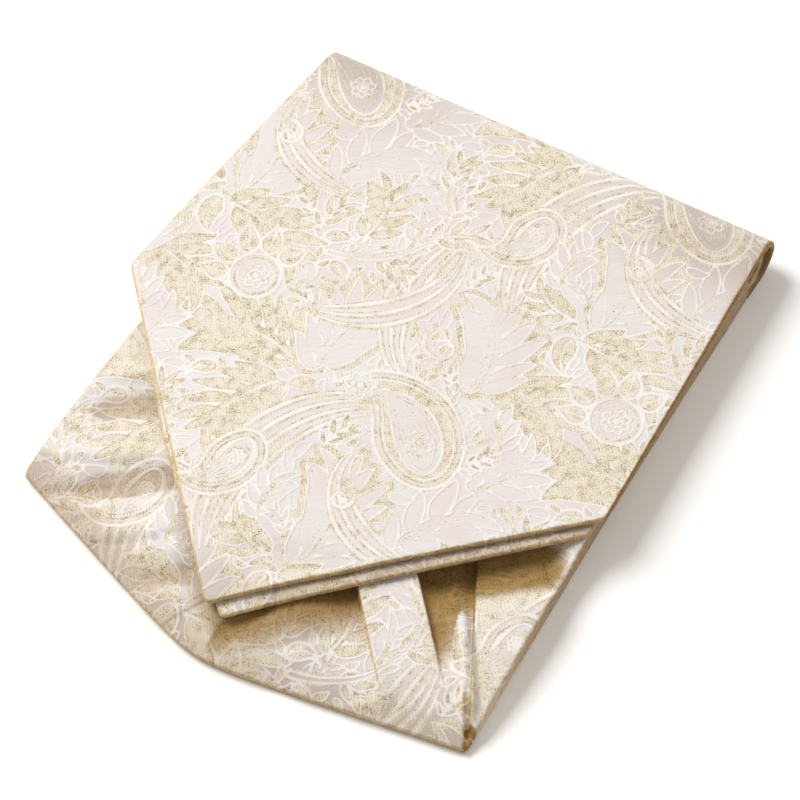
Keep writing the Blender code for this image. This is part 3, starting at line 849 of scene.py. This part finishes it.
def weave_acanthus(chart, x, y, heading, length, width, turn, curl, lobes, tone, ground=0.0):
    """A leaf of flame-shaped lobes that spring from its rib, with deep notches between them."""
    steps = 30
    rib = sweep(x, y, heading, length, turn, curl, steps)
    outlines = []
    for k in range(lobes):
        for side, later in ((1, 0.0), (-1, 0.045)):
            share = 0.03 + 0.74 * k / lobes + later
            reach = width * (0.50 + 0.42 * math.sin(math.pi * min(1.0, share * 1.2 + 0.12)) - 0.08 * (k % 2))
            place = int(share * steps)
            lobe = sweep(*rib[place], heading_at(rib, place) + 66 * side, reach, -78 * side, 74 * side, 12)
            outlines.append(blade_leaf(lobe, min(reach * 0.36, length * 0.72 / lobes), 0.7, 10))
    outlines.append(blade_leaf(rib[int(0.4 * steps):], width * 0.26, 0.8, 12))
    outlines.append(blade_leaf(rib, width * 0.22, 0.5, 14))
    if ground:
        chart.shape(outlines, None, 0.0, ((-ground / 2, ground / 2, "gold"),))
    gold = tone == "gold"
    chart.shape(outlines, tone, 0.34, ((0.7, 0.16, "dark" if gold else "gold"),))
    chart.stroke(rib[1:-3], np.linspace(0.42, 0.14, steps - 3), "cream" if gold else "gold")


def weave_scroll(chart, x, y, heading, length, turn, curl, leaves, size, side):
    """A tapering stem with leaves along both sides."""
    steps = 40
    stem = sweep(x, y, heading, length, turn, curl, steps)
    for k in range(leaves):
        place = int((0.06 + 0.86 * k / leaves) * steps)
        grown = size * (0.6 + 0.55 * math.sin(math.pi * place / steps))
        way = side if k % 2 else -side
        weave_acanthus(chart, *stem[place], heading_at(stem, place) + 24 * way, grown, grown * 0.5,
                       52 * way, 18 * way, 3, "gold" if k % 2 else "satin")
    for widest, least, tone in ((1.95, 0.5, "gold"), (1.5, 0.3, "cream"), (0.55, 0.05, "satin")):
        chart.stroke(stem, np.linspace(widest, least, steps + 1), tone)


def weave_reeds(chart, x, y, heading, length, turn, curl, count, gap):
    """Parallel ribs that sweep together and draw in towards their end."""
    share = np.linspace(0.0, 1.0, 37)
    line = sweep(x, y, heading, length, turn, curl, 36)
    spread = np.sin(np.pi * (0.07 + 0.92 * share) ** 0.75)
    for widest, tones in ((0.60, ("gold",)), (0.25, ("cream", "satin"))):
        for k in range(count):
            off = (k - (count - 1) / 2) * gap * spread
            chart.stroke(beside(line, share, off), 0.12 + widest * gap * spread, tones[k % len(tones)])


def weave_teardrop(chart, x, y, heading, length, width, turn, curl, rich):
    line = sweep(x, y, heading, length, turn, curl, 34)
    outline = teardrop(line, width)
    if not rich:
        chart.shape([outline], "gold", 0.5, ((1.5, 0.2, "cream"),))
        chart.stroke(line[3:-6], 0.3, "cream")
        return
    around = teardrop(line, width, 40)
    out = np.roll(around, -1, axis=0) - np.roll(around, 1, axis=0)
    out = out[:, ::-1] * (-1.0, 1.0) / np.maximum(np.linalg.norm(out, axis=1, keepdims=True), 1e-6)
    for place, way in zip(around, out):
        chart.stroke(np.array([place, place + way * 1.9]), (0.5, 0.16), "gold")
    chart.shape([outline], "gold", 0.55, ((1.7, 0.30, "satin"), (2.5, 0.22, "dark"), (3.4, 0.35, "cream")))
    start = line[3]
    inner = sweep(*start, heading + turn * 0.08, length * 0.72, turn * 0.86, curl * 0.7, 30)
    chart.shape([teardrop(inner, width * 0.52)], "satin", 0.45, ((1.2, 0.2, "gold"), (2.2, 0.2, "dark")))
    share = np.linspace(0.12, 0.9, 20)
    for k in range(-3, 4):
        off = k / 3 * width * 0.20 * np.sin(np.pi * share) ** 0.6
        chart.stroke(beside(inner, share, off), 0.24, "gold")
    weave_rosette(chart, *line[10], width * 0.15, 7)


def weave_rosette(chart, x, y, radius, petals):
    chart.shape([petal_ring(x, y, radius * 1.14, petals, 0.24)], "gold")
    chart.shape([petal_ring(x, y, radius, petals, 0.34)], "satin", 0.36, ((0.9, 0.16, "gold"),))
    chart.shape([petal_ring(x, y, radius * 0.5, petals, 0.3, math.pi / 2)], "gold", 0.3)
    chart.shape([petal_ring(x, y, radius * 0.2)], "cream", 0.2)


def weave_tendril(chart, x, y, heading, length, turn, curl, half):
    line = sweep(x, y, heading, length, turn, curl, 40)
    chart.stroke(line, np.linspace(half + 0.5, 0.7, 41), "gold")
    chart.stroke(line, np.linspace(half, 0.32, 41), "cream")
    chart.shape([petal_ring(*line[-1], half * 1.1)], "cream", 0.2)


def weave_fan(chart, x, y, heading, radius, buds, spread, length, width):
    """Small upright teardrops round an arc."""
    chart.shape([petal_ring(x, y, radius)], "satin", 0.5, ((1.6, 0.45, "gold"), (2.6, 0.2, "cream")))
    weave_rosette(chart, x, y, radius * 0.56, 8)
    for k in range(buds):
        from_middle = k - (buds - 1) / 2
        way = heading + spread * from_middle
        towards = math.radians(way)
        place = np.array((x, y)) + (radius + 0.8) * np.array((math.cos(towards), math.sin(towards)))
        weave_teardrop(chart, *place, way - 8, length * (1.0 - 0.1 * abs(from_middle)), width,
                       16 if k % 2 else -16, 10, False)


# The main figures, each with its own place, heading in degrees and sizes.
FIGURES = (
    (weave_acanthus, 40, 84, 118, 52, 30, 60, 40, 7, "gold", 0.0),
    (weave_acanthus, 46, 80, 62, 44, 26, -50, -40, 6, "satin", 2.4),
    (weave_acanthus, 36, 78, 184, 44, 24, 55, 40, 6, "gold", 0.0),
    (weave_acanthus, 100, 70, -22, 46, 24, -60, -50, 6, "gold", 0.0),
    (weave_acanthus, 96, 64, 44, 46, 24, 62, 40, 6, "satin", 2.4),
    (weave_acanthus, 30, 8, 30, 50, 25, 70, 30, 7, "satin", 2.4),
    (weave_acanthus, 24, 4, -32, 46, 24, -58, -30, 6, "gold", 0.0),
    (weave_reeds, 2, 20, 78, 104, -96, -30, 7, 2.6),
    (weave_reeds, 104, 128, 208, 80, 64, 50, 6, 2.5),
    (weave_reeds, 50, 104, -24, 70, 84, 30, 5, 2.4),
    (weave_reeds, 66, 2, 150, 60, -84, -50, 5, 2.2),
    (weave_scroll, 56, 128, -30, 80, 118, 80, 6, 22, -1),
    (weave_teardrop, 74, 30, 72, 60, 30, 62, 60, True),
    (weave_teardrop, 22, 60, 250, 38, 19, -70, -70, True),
    (weave_fan, 30, 122, 96, 9.0, 5, 34, 14, 7.5),
    (weave_rosette, 60, 72, 5.5, 7),
    (weave_tendril, 88, 92, 200, 34, 250, 190, 1.0),
    (weave_tendril, 50, 36, 330, 26, -260, -200, 0.9),
)
# A gap takes a leaf, teardrop or tendril by how far it reaches from its middle.
MOST_FILLINGS = 260
LEAST_ROOM, MIDDLING_ROOM, LARGE_ROOM = 2.0, 3.6, 6.0


def weave_fillings(chart, seed):
    """Leaves, teardrops and tendrils in the largest gaps, until none is left."""
    chance = np.random.default_rng(seed)
    for _ in range(MOST_FILLINGS):
        room = chart.room()
        row, column = np.unravel_index(room.argmax(), room.shape)
        reach = room[row, column]
        if reach < LEAST_ROOM:
            return
        x, y = (column + 0.5) * BLOCK * CELL, (row + 0.5) * BLOCK * CELL
        way = (70 + 80 * math.sin(math.tau * x / REPEAT_WIDTH + 0.8)
               + 60 * math.sin(2 * math.tau * y / REPEAT_HEIGHT + 1.9) + chance.uniform(-25, 25))
        side, kind = (1 if chance.random() < 0.5 else -1), chance.random()
        length = reach * 3.0
        towards = math.radians(way + 20 * side)
        start = (x - 0.42 * length * math.cos(towards), y - 0.42 * length * math.sin(towards))
        if reach > LARGE_ROOM or (reach > MIDDLING_ROOM and kind < 0.55):
            weave_acanthus(chart, *start, way - 10 * side, length * 1.12, length * 0.58, 60 * side, 30 * side,
                           4 if reach > LARGE_ROOM else 3, "gold" if kind < 0.36 else "satin")
        elif reach > MIDDLING_ROOM and kind < 0.8:
            weave_teardrop(chart, *start, way, length, length * 0.48, 60 * side, 40 * side, False)
        elif reach > MIDDLING_ROOM:
            weave_tendril(chart, *start, way, length * 1.5, 200 * side, 150 * side, 0.7)
        else:
            line = sweep(*start, way, length, 50 * side, 20 * side, 12)
            chart.shape([blade_leaf(line, length * 0.42, 0.8, 9)], "gold" if kind < 0.6 else "satin", 0.34)


@functools.cache
def woven_chart():
    """The finished chart of one repeat."""
    chart = WeaveChart()
    for weave, *sizes in FIGURES:
        weave(chart, *sizes)
    weave_fillings(chart, 5)
    return chart


# ---- Finish ----------------------------------------------------------------------------------------
THREAD_RELIEF, LAYER_RELIEF = 0.00014, 0.0001   # in metres


def linear(hex_colour):
    """An sRGB hex colour as linear numbers with an alpha of one."""
    channels = [int(hex_colour[k:k + 2], 16) / 255.0 for k in (1, 3, 5)]
    return (*(c / 12.92 if c <= 0.04045 else ((c + 0.055) / 1.055) ** 2.4 for c in channels), 1.0)


def node(tree, kind, inputs=(), give=0, **settings):
    """Adds a node and gives back one of its outputs.

    inputs holds, for a socket's name or number, its value or another node's output.
    """
    made = tree.nodes.new(kind if "Node" in kind else "ShaderNode" + kind)
    for name, value in settings.items():
        setattr(made, name, value)
    for key, value in dict(inputs).items():
        if isinstance(value, bpy.types.NodeSocket):
            tree.links.new(value, made.inputs[key])
        else:
            made.inputs[key].default_value = value
    return made.outputs[give] if made.outputs else made


def empty_finish(name):
    """The material of that name without nodes, and the function that adds a node to it."""
    finish = bpy.data.materials.get(name) or bpy.data.materials.new(name)
    finish.use_nodes = True
    finish.node_tree.nodes.clear()
    return finish, functools.partial(node, finish.node_tree)


def set_ramp(output, stops):
    """Gives the ramp of this output its places and colours, from low to high."""
    elements = output.node.color_ramp.elements
    for _ in stops[2:]:
        elements.new(0.5)
    for element, (place, colour) in zip(elements, stops):
        element.position, element.color = place, colour


def jacquard_silk(look):
    """Jacquard silk: an ivory satin ground, figures in gold twill, and raised cream floats round them."""
    cloth, add = empty_finish("jacquard_silk")
    threads = add("Mapping", {0: add("UVMap", uv_map="cloth"), "Rotation": (0.0, 0.0, -BIAS)})
    # What is woven at a place, from its distance in millimetres inside the edge of each figure, and how far
    # the cloth turns down and how much painted shade it gets.
    gold, cream, dark, turned, sunk, in_rim, off_middle, round_gold = (
        add("MapRange", {0: add("Attribute", give="Fac", attribute_name=field), 1: low, 2: high},
            interpolation_type="SMOOTHSTEP")
        for field, low, high in (
            ("gold", -0.10, 0.10), ("cream", -0.09, 0.09), ("dark", -0.10, 0.10), ("turned", 0.0, 1.0),
            ("sunk", 0.0, 1.0), ("gold", 0.05, 0.2), ("gold", 0.85, 0.6), ("gold", 0.7, -0.7)))
    # Flecks gather in clumps about 2.5 mm wide. Patches 10 to 20 mm wide have cooler satin, gold that lies
    # deeper among the ivory threads and shows less, and floats that lie closer together.
    clump, cooler, paler, closer = (
        add("MapRange", {0: add("TexNoise", {"Vector": threads, "Scale": scale, "Detail": 1.0}), **span})
        for scale, span in ((0.4, {3: -0.2, 4: 0.2}), (0.05, {1: 0.44, 2: 0.6}),
                            (0.065, {1: 0.48, 2: 0.62, 4: 0.38}), (0.09, {1: 0.36, 2: 0.56, 3: 0.3})))
    # Gold weft shows as flecks about 0.6 mm long, drawn a little coarser than the real thread.
    flecks = add("Mapping", {0: threads, "Scale": (1.0, 1.7, 1.0)})
    fleck = add("TexNoise", {"Vector": flecks, "Scale": 1.7, "Detail": 3.0, "Roughness": 0.7})
    fleck = add("Math", {0: fleck, 1: clump}, operation="ADD")
    twill = add("ValToRGB", {0: fleck})
    set_ramp(twill, ((0.33, linear("#796A4B")), (0.40, linear("#BBAC8B")), (0.48, linear("#D9CFB8")),
                     (0.60, (*look.twill_colour, 1.0))))
    streaks = add("Mapping", {0: threads, "Scale": (0.18, 2.2, 1.0)})
    streak = add("TexNoise", {"Vector": streaks, "Scale": 1.0, "Detail": 2.0})
    taupe_painted_shade = add("MapRange", {0: sunk, 2: 0.5})
    # More gold weft shows where the cloth turns down and, as painted shade, where the painted shade is up.
    weft = gold
    for turn_and_painted_shade, least, most in ((turned, 0.0, 0.2), (sunk, 0.4, 0.9)):
        weft_from_turn_and_shade = add("MapRange", {0: turn_and_painted_shade, 1: least, 4: most})
        weft = add("Math", {0: weft, 1: weft_from_turn_and_shade}, operation="MAXIMUM")
    # Short bindings stand across the rim of each gold figure, 0.9 mm apart.
    strokes = add("TexWave", {"Vector": threads, "Scale": 0.349, "Distortion": 4.0, "Detail Scale": 0.3}, 1)
    strokes = add("MapRange", {0: strokes, 1: 0.5, 2: 0.8})
    rim = in_rim
    for factor in (off_middle, strokes, 0.35):
        rim = add("Math", {0: rim, 1: factor}, operation="MULTIPLY")
    between = add("MapRange", {0: fleck, 1: 0.62, 2: 0.42})
    binding = add("Math", {0: dark, 1: between}, operation="MULTIPLY")
    raised = add("Math", {0: cream, 1: closer}, operation="MULTIPLY")
    deep = add("MapRange", {0: sunk, 1: 0.25})
    colours = {"twill": twill, "lit satin": (*look.satin_colour, 1.0), "floats": (*look.float_colour, 1.0)}
    for result, share, under, over, blend in (
            ("ground", cooler, "#E0E0DE", "lit satin", "MIX"),
            ("satin", streak, "#CEC5C3", "ground", "MIX"),
            # Painted shade: where the painted shade is up the satin is painted taupe, as satin that leans
            # away from the light loses its gloss.
            ("satin", taupe_painted_shade, "satin", "#BEB2AB", "MIX"),
            ("twill", paler, "twill", "#E0DAD2", "MIX"),
            ("cloth", weft, "satin", "twill", "MIX"),
            ("cloth", binding, "cloth", "#A0926C", "MIX"),
            ("cloth", rim, "cloth", "#A89B78", "MIX"),
            ("cloth", raised, "cloth", "floats", "MIX"),
            # Where the cloth turns down at a fold it turns warmer and darker: partly the gold weft that shows
            # as its floats part, partly painted shade on the turned-down sides.
            ("cloth", turned, "cloth", "#F0DFB6", "MULTIPLY"),
            # Painted shade: where the painted shade is up the colour is multiplied down to gold-brown,
            # standing in for shadow and for light bounced off the gold cloth round it.
            ("cloth", deep, "cloth", "#AE9053", "MULTIPLY")):
        under, over = (linear(colour) if colour[0] == "#" else colours[colour] for colour in (under, over))
        colours[result] = add("Mix", {0: share, 6: under, 7: over}, 2, data_type="RGBA", blend_type=blend)
    height = add("Math", {0: fleck, 1: gold}, operation="MULTIPLY")
    height = add("Math", {0: height, 1: cream}, operation="MAXIMUM")
    height = add("Math", {0: height, 1: round_gold}, operation="ADD")
    add("OutputMaterial", {0: add("BsdfPrincipled", {
        "Base Color": colours["cloth"], "Roughness": add("MapRange", {0: gold, 3: 0.5, 4: 0.64}),
        "Normal": add("Bump", {"Height": height, "Strength": 0.6, "Distance": THREAD_RELIEF}),
        "Specular IOR Level": 0.4, "Sheen Weight": 0.12, "Sheen Roughness": 0.45})})
    return cloth


def layered_silk(look):
    """The edges of the hidden layers: plain silk folded on itself, with the thread lying along each edge."""
    cloth, add = empty_finish("layered_silk")
    along = add("Mapping", {0: add("UVMap", uv_map="cloth"), "Scale": (0.25, 3.0, 1.0)})
    thread = add("TexNoise", {"Vector": along, "Scale": 1.0, "Detail": 3.0})
    ramp = add("ValToRGB", {0: thread})
    set_ramp(ramp, ((0.3, linear("#A08A5A")), (0.7, (*look.twill_colour, 1.0))))
    add("OutputMaterial", {0: add("BsdfPrincipled", {
        "Base Color": ramp, "Roughness": 0.62, "Sheen Weight": 0.12,
        "Normal": add("Bump", {"Height": thread, "Strength": 0.5, "Distance": LAYER_RELIEF})})})
    return cloth


RELIEF_FLANK = 0.15        # millimetres on both sides of a figure's edge over which it rises


def relief_nodes():
    """Geometry nodes that lift the floats and the twill out of the satin, along the cloth's normals."""
    name = "jacquard_relief"
    if name in bpy.data.node_groups:
        return bpy.data.node_groups[name]
    tree = bpy.data.node_groups.new(name, "GeometryNodeTree")
    add = functools.partial(node, tree)
    for label, kind in (("Cloth", "Geometry"), ("Float height", "Float"), ("Twill height", "Float"),
                        ("Silk", "Material")):
        tree.interface.new_socket(label, in_out="INPUT", socket_type="NodeSocket" + kind)
    tree.interface.new_socket("Cloth", in_out="OUTPUT", socket_type="NodeSocketGeometry")
    given = add("NodeGroupInput").node.outputs
    floats, twill = (
        add("MapRange", {0: add("GeometryNodeInputNamedAttribute", {"Name": field}, data_type="FLOAT"),
                         1: -RELIEF_FLANK, 2: RELIEF_FLANK, 4: given[height]},
            interpolation_type="SMOOTHSTEP")
        for field, height in (("cream", "Float height"), ("gold", "Twill height")))
    height = add("Math", {0: floats, 1: twill}, operation="MAXIMUM")
    offset = add("VectorMath", {0: add("GeometryNodeInputNormal"), "Scale": height}, operation="SCALE")
    moved = add("GeometryNodeSetPosition", {"Geometry": given["Cloth"], "Offset": offset})
    real = add("GeometryNodeRealizeInstances", {0: moved})
    add("NodeGroupOutput", {0: add("GeometryNodeSetMaterial", {0: real, "Material": given["Silk"]})})
    return tree


def woven(piece, look):
    """Puts the relief and the silk on a piece, and leaves it a plain mesh."""
    tree = relief_nodes()
    modifier = piece.modifiers.new("relief", "NODES")
    modifier.node_group = tree
    sockets = {each.name: each.identifier for each in tree.interface.items_tree if each.in_out == "INPUT"}
    for name, value in (("Float height", look.float_height), ("Twill height", look.twill_height),
                        ("Silk", jacquard_silk(look))):
        modifier[sockets[name]] = value
    graph = bpy.context.evaluated_depsgraph_get()
    made = bpy.data.meshes.new_from_object(piece.evaluated_get(graph), preserve_all_data_layers=True,
                                           depsgraph=graph)
    piece.modifiers.clear()
    plain, piece.data = piece.data, made
    bpy.data.meshes.remove(plain)
    made.name = piece.name
    made.shade_smooth()


def declare(piece, cad_node):
    """Puts a piece on the root body and hides the solid that it stands for."""
    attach(piece, "root")
    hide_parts(cad_node)


def lay_cloth(piece, outline, look, cad_node, under):
    """Weaves a piece of cloth, puts it on its body and hides the solid it stands for; under is not used."""
    woven(piece, look)
    declare(piece, cad_node)
    flat_size(outline)
    flat_area(outline)


# ---- The studio ------------------------------------------------------------------------------------
FLOOR_HALF_WIDTH = 3.0     # in metres, as all lengths of the studio are
ROOM_COLOUR = (1.0, 0.94, 0.87, 1.0)
MAIN_LIGHT = ("main_light", (-1.75, 0.05, 2.05), 1.4)
FAR_LIGHT = ("far_light", (0.50, 1.70, 1.90), 1.2)
CAMERA_ELEVATION, CAMERA_AZIMUTH = math.radians(57.5), math.radians(32.44)
CAMERA_DISTANCE, CAMERA_TARGET, CAMERA_LENS = 0.8, (0.00573, 0.0004, 0.0), 129.1


def placed(scene, name, data, place, towards):
    """Adds a light or a camera that faces against this direction."""
    made = bpy.data.objects.new(name, data)
    made.location = place
    made.rotation_euler = (-Vector(towards)).to_track_quat("-Z", "Y").to_euler()
    scene.collection.objects.link(made)
    return made


def build_stage(scene, look):
    mesh = bpy.data.meshes.new("floor")
    far = FLOOR_HALF_WIDTH
    mesh.from_pydata([(-far, -far, 0), (far, -far, 0), (far, far, 0), (-far, far, 0)], [], [(0, 1, 2, 3)])
    floor = bpy.data.objects.new("floor", mesh)
    scene.collection.objects.link(floor)
    # Matt paper: pale and without gloss.
    paper, add = empty_finish("matt_paper")
    colour = (*look.floor_colour, 1.0)
    add("OutputMaterial", {0: add("BsdfPrincipled", {"Base Color": colour, "Roughness": 0.9})})
    mesh.materials.append(paper)
    scene.world = bpy.data.worlds.new("studio")
    scene.world.use_nodes = True
    background = scene.world.node_tree.nodes["Background"]
    background.inputs["Color"].default_value = ROOM_COLOUR
    background.inputs["Strength"].default_value = look.room_light
    for (name, place, size), power in ((MAIN_LIGHT, look.main_power), (FAR_LIGHT, look.far_power)):
        light = bpy.data.lights.new(name, "AREA")
        light.energy, light.size = power, size
        placed(scene, name, light, place, place)
    camera = bpy.data.cameras.new("camera")
    camera.sensor_width, camera.lens = 36.0, CAMERA_LENS
    towards = Vector((math.cos(CAMERA_ELEVATION) * math.sin(CAMERA_AZIMUTH),
                      -math.cos(CAMERA_ELEVATION) * math.cos(CAMERA_AZIMUTH), math.sin(CAMERA_ELEVATION)))
    scene.camera = placed(scene, "camera", camera, Vector(CAMERA_TARGET) + towards * CAMERA_DISTANCE, towards)
    scene.view_settings.view_transform = "Standard"


# ---- Settings, operators and panel -----------------------------------------------------------------
def colour_setting(name, description, colour):
    return FloatVectorProperty(name=name, description=description, default=colour[:3], subtype="COLOR",
                               size=3, min=0.0, max=1.0)


def number_setting(name, description, default, **unit):
    return FloatProperty(name=name, description=description, default=default, min=0.0, **unit)


class SilkLook(bpy.types.PropertyGroup):
    satin_colour: colour_setting("Satin", "Colour of the satin ground", linear("#DFD4D3"))
    twill_colour: colour_setting("Gold twill", "Lightest colour of the gold figures", linear("#DED9CE"))
    float_colour: colour_setting("Floats", "Colour of the raised lines round the figures", linear("#E3DEDC"))
    float_height: number_setting("Float height", "How far the raised lines stand up", 0.00007, unit="LENGTH")
    twill_height: number_setting("Twill height", "How far the gold figures stand up", 0.00003, unit="LENGTH")


class StageLook(bpy.types.PropertyGroup):
    floor_colour: colour_setting("Floor", "Colour of the plain floor", (0.96, 0.96, 0.96))
    main_power: number_setting("Main light", "Power of the soft main light", 69.0, unit="POWER")
    far_power: number_setting("Far light", "Power of the soft light behind", 12.0, unit="POWER")
    room_light: number_setting("Room light", "Light that comes from all round", 0.46)


class AddBlades(bpy.types.Operator):
    """Lays both pointed blades on the folded stack, with their roll at the top fold"""

    bl_idname = "cravat.add_blades"
    bl_label = "Add blades"

    def execute(self, context):
        for node_name, blade, under in (("back_blade", BACK_BLADE, "pleated_stretch_cloth"),
                                        ("front_blade", FRONT_BLADE, "back_blade_cloth")):
            piece, outline = build_blade(node_name + "_cloth", blade, blade is BACK_BLADE)
            lay_cloth(piece, outline, context.scene.silk_look, node_name, under)
        return {"FINISHED"}


class AddPleatedStretch(bpy.types.Operator):
    """Lays the pleated stretch below the blades, turned down over its right side and bottom fold"""

    bl_idname = "cravat.add_pleated_stretch"
    bl_label = "Add pleated stretch"

    def execute(self, context):
        lay_cloth(*build_stretch(), context.scene.silk_look, "pleated_stretch", "folded_layers")
        return {"FINISHED"}


class AddFoldedLayers(bpy.types.Operator):
    """Adds the hidden layers as one rounded solid, layered at its edges"""

    bl_idname = "cravat.add_folded_layers"
    bl_label = "Add folded layers"

    def execute(self, context):
        piece = build_core()
        piece.data.materials.append(layered_silk(context.scene.silk_look))
        declare(piece, "folded_core")
        return {"FINISHED"}


class AddStage(bpy.types.Operator):
    """Adds the plain floor, the soft lights and the camera"""

    bl_idname = "cravat.add_stage"
    bl_label = "Add stage"

    def execute(self, context):
        build_stage(context.scene, context.scene.cravat_stage)
        return {"FINISHED"}


class CravatPanel(bpy.types.Panel):
    bl_idname = "CRAVAT_PT_parts"
    bl_label = "Silk Cravat"
    bl_space_type = "VIEW_3D"
    bl_region_type = "UI"
    bl_category = "Cravat"

    def draw(self, context):
        for look in (context.scene.silk_look, context.scene.cravat_stage):
            for name in look.__annotations__:
                self.layout.prop(look, name)
        for operator in OPERATORS:
            self.layout.operator(operator.bl_idname)


OPERATORS = (AddFoldedLayers, AddPleatedStretch, AddBlades, AddStage)
CLASSES = (SilkLook, StageLook, *OPERATORS, CravatPanel)


def register():
    for each in CLASSES:
        bpy.utils.register_class(each)
    bpy.types.Scene.silk_look = PointerProperty(type=SilkLook)
    bpy.types.Scene.cravat_stage = PointerProperty(type=StageLook)


def unregister():
    del bpy.types.Scene.cravat_stage
    del bpy.types.Scene.silk_look
    for each in reversed(CLASSES):
        bpy.utils.unregister_class(each)


def main():
    register()
    bpy.ops.cravat.add_folded_layers()
    bpy.ops.cravat.add_pleated_stretch()
    bpy.ops.cravat.add_blades()
    bpy.ops.cravat.add_stage()


if __name__ == "__main__":
    main()
